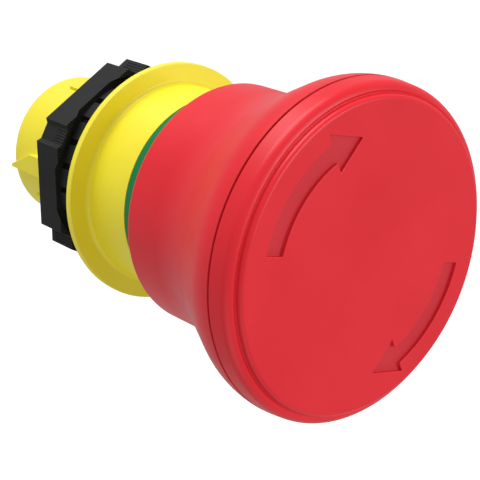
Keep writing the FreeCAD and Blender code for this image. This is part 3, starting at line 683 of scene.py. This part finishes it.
def cut_serrations(obj):
    """Fine grooves on the floor of each notch, on the sides of each vee and on the pads."""
    lines = [SERRATION_PITCH * k for k in range(-SERRATIONS_EACH_SIDE, SERRATIONS_EACH_SIDE + 1)]
    front = NUT_FRONT + CLEAR
    inward, rearward = (0, -1, 0), (0, 0, -1)
    on_floor = [((x, NOTCH_FLOOR, NUT_FRONT - FLOOR_RUN), (x, NOTCH_FLOOR, front), inward)
                for x in lines if abs(x) < NOTCH_WIDTH / 2 - FLOOR_MARGIN]
    mouth, shoulder = NOTCH_MOUTH / 2, NOTCH_FLOOR + NOTCH_DEPTH
    slope = (shoulder - VEE_BOTTOM) / (mouth - VEE_WIDTH / 2)
    on_vee = []
    for x in lines:
        if VEE_WIDTH < abs(x) < mouth - VEE_MARGIN:
            outward = VEE_BOTTOM + (abs(x) - VEE_WIDTH / 2) * slope
            on_vee.append(((x, outward, NUT_REAR + VEE_START), (x, outward, front), inward))
    on_pad = [((x, PAD_FLATS / 2 - PAD_MARGIN, NUT_FRONT),
               (x, NUT_CORNER + PAD_MARGIN, NUT_FRONT), rearward) for x in lines]
    cut_grooves(obj, on_floor, NOTCH_CORNERS)
    cut_grooves(obj, on_vee, VEE_CORNERS)
    cut_grooves(obj, on_pad, SIXTHS)


def build_nut():
    """Hexagon with a serrated notch and a raised, serrated pad at every corner."""
    obj = lathe("hex_nut", rounded([
        (NUT_BORE, NUT_REAR, NUT_REAR_ROUND),
        (NUT_CORNER, NUT_REAR),
        (NUT_CORNER, NUT_FRONT),
        (NUT_BORE, NUT_FRONT, NUT_FRONT_ROUND),
    ], 4), NUT_SEGMENTS)
    shape_hexagon(obj)
    soften(obj, NUT_EDGE, 15)
    cut_serrations(obj)
    smooth(obj, 20)
    settle_normals(obj)
    stand_for(obj, "fixing_nut")


# ---- return spring ----------------------------------------------------------------------


def build_return_spring():
    """Coil of round wire, built at one length; a real return spring shortens by the button's
    stroke as the head is pushed, but this coil does not.
    """
    rear, front = forward_span("return_spring")
    steps = STEPS_PER_TURN * SPRING_TURNS
    rise = (front - rear - SPRING_WIRE) / steps

    def wire_ring(bm, step):
        ring = []
        for k in range(WIRE_SIDES):
            across, along = turn_point(SPRING_WIRE / 2, 0, math.tau * k / WIRE_SIDES)
            forward = rear + SPRING_WIRE / 2 + along + rise * step
            angle = math.tau * step / STEPS_PER_TURN
            ring.append(bm.verts.new(turned(SPRING_RADIUS + across, 0, forward, angle)))
        return ring

    def build(bm):
        rings = [wire_ring(bm, step) for step in range(steps + 1)]
        for ring, following in zip(rings, rings[1:]):
            tube(bm, ring, following)
        bm.faces.new(rings[0])
        bm.faces.new(rings[-1])
    obj = new_object("return_coil", build)
    stand_for(obj, "return_spring")
    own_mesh(obj)


# ---- CAD nodes --------------------------------------------------------------------------


def dress_nodes():
    """Give every CAD node the material of its slot in the record."""
    for name, node in frame["nodes"].items():
        node.data.materials.clear()
        node.data.materials.append(MATERIALS[SLOT_OF[name]])


# ---- stage, light and camera, in metres -------------------------------------------------

STAGE_SIZE, STAGE_DEPTH = 6, 0.12


def build_stage():
    """White floor that doesn't tint, mirror or shadow the object, which is lit from below too."""
    bpy.ops.mesh.primitive_plane_add(size=STAGE_SIZE, location=(0, 0, -STAGE_DEPTH))
    floor = bpy.context.active_object
    floor.name = "floor"
    material, nodes, links, shader, where = new_material("floor_white")
    tone = spread(nodes, links, noise(nodes, links, where, 3, 2), 0.0, 1.0)
    links.new(mix_colour(nodes, links, tone, (0.93, 0.93, 0.93), (0.90, 0.90, 0.90)),
              shader.inputs["Base Color"])
    shader.inputs["Roughness"].default_value = 0.9
    floor.data.materials.append(material)
    floor.visible_diffuse = False
    floor.visible_glossy = False
    floor.visible_shadow = False


def soft_light(name, source, side, power):
    """A square area light that faces the origin."""
    data = bpy.data.lights.new(name, "AREA")
    data.size = side
    data.energy = power
    lamp = bpy.data.objects.new(name, data)
    lamp.location = source
    lamp.rotation_euler = (-Vector(source)).to_track_quat("-Z", "Y").to_euler()
    bpy.context.scene.collection.objects.link(lamp)


def build_light():
    world = bpy.data.worlds.new("studio")
    bpy.context.scene.world = world
    world.use_nodes = True
    world.node_tree.nodes["Background"].inputs["Color"].default_value = (1, 1, 1, 1)
    world.node_tree.nodes["Background"].inputs["Strength"].default_value = 0.5
    soft_light("overhead", (-0.2, 0.45, 1.75), side=1.2, power=31)
    soft_light("front", (0.7, -1.7, 0.3), side=0.9, power=16.5)
    soft_light("fill", (-0.9, -0.7, -1.1), side=1.0, power=3)
    view = bpy.context.scene.view_settings
    view.view_transform = "Standard"
    view.look = "None"


def build_camera():
    """The photograph's point of view; the aim and the distance are in mm."""
    azimuth, elevation = math.radians(-40.6), math.radians(20.9)
    distance = 180.0
    aim = Vector((5.363, -8.393, -7.086))
    back = Vector((math.sin(azimuth) * math.cos(elevation),
                   -math.cos(azimuth) * math.cos(elevation), math.sin(elevation)))
    data = bpy.data.cameras.new("camera")
    data.lens = 105.0
    data.sensor_width = 36.0
    data.clip_start, data.clip_end = 0.005, 20
    camera = bpy.data.objects.new("camera", data)
    camera.location = (aim + back * distance) * MM
    camera.rotation_euler = (-back).to_track_quat("-Z", "Y").to_euler()
    bpy.context.scene.collection.objects.link(camera)
    bpy.context.scene.camera = camera


build_stage()
build_light()
build_camera()
dress_nodes()
build_skirt()
build_cap()
build_housing()
build_band()
build_gasket()
build_nut()
build_return_spring()
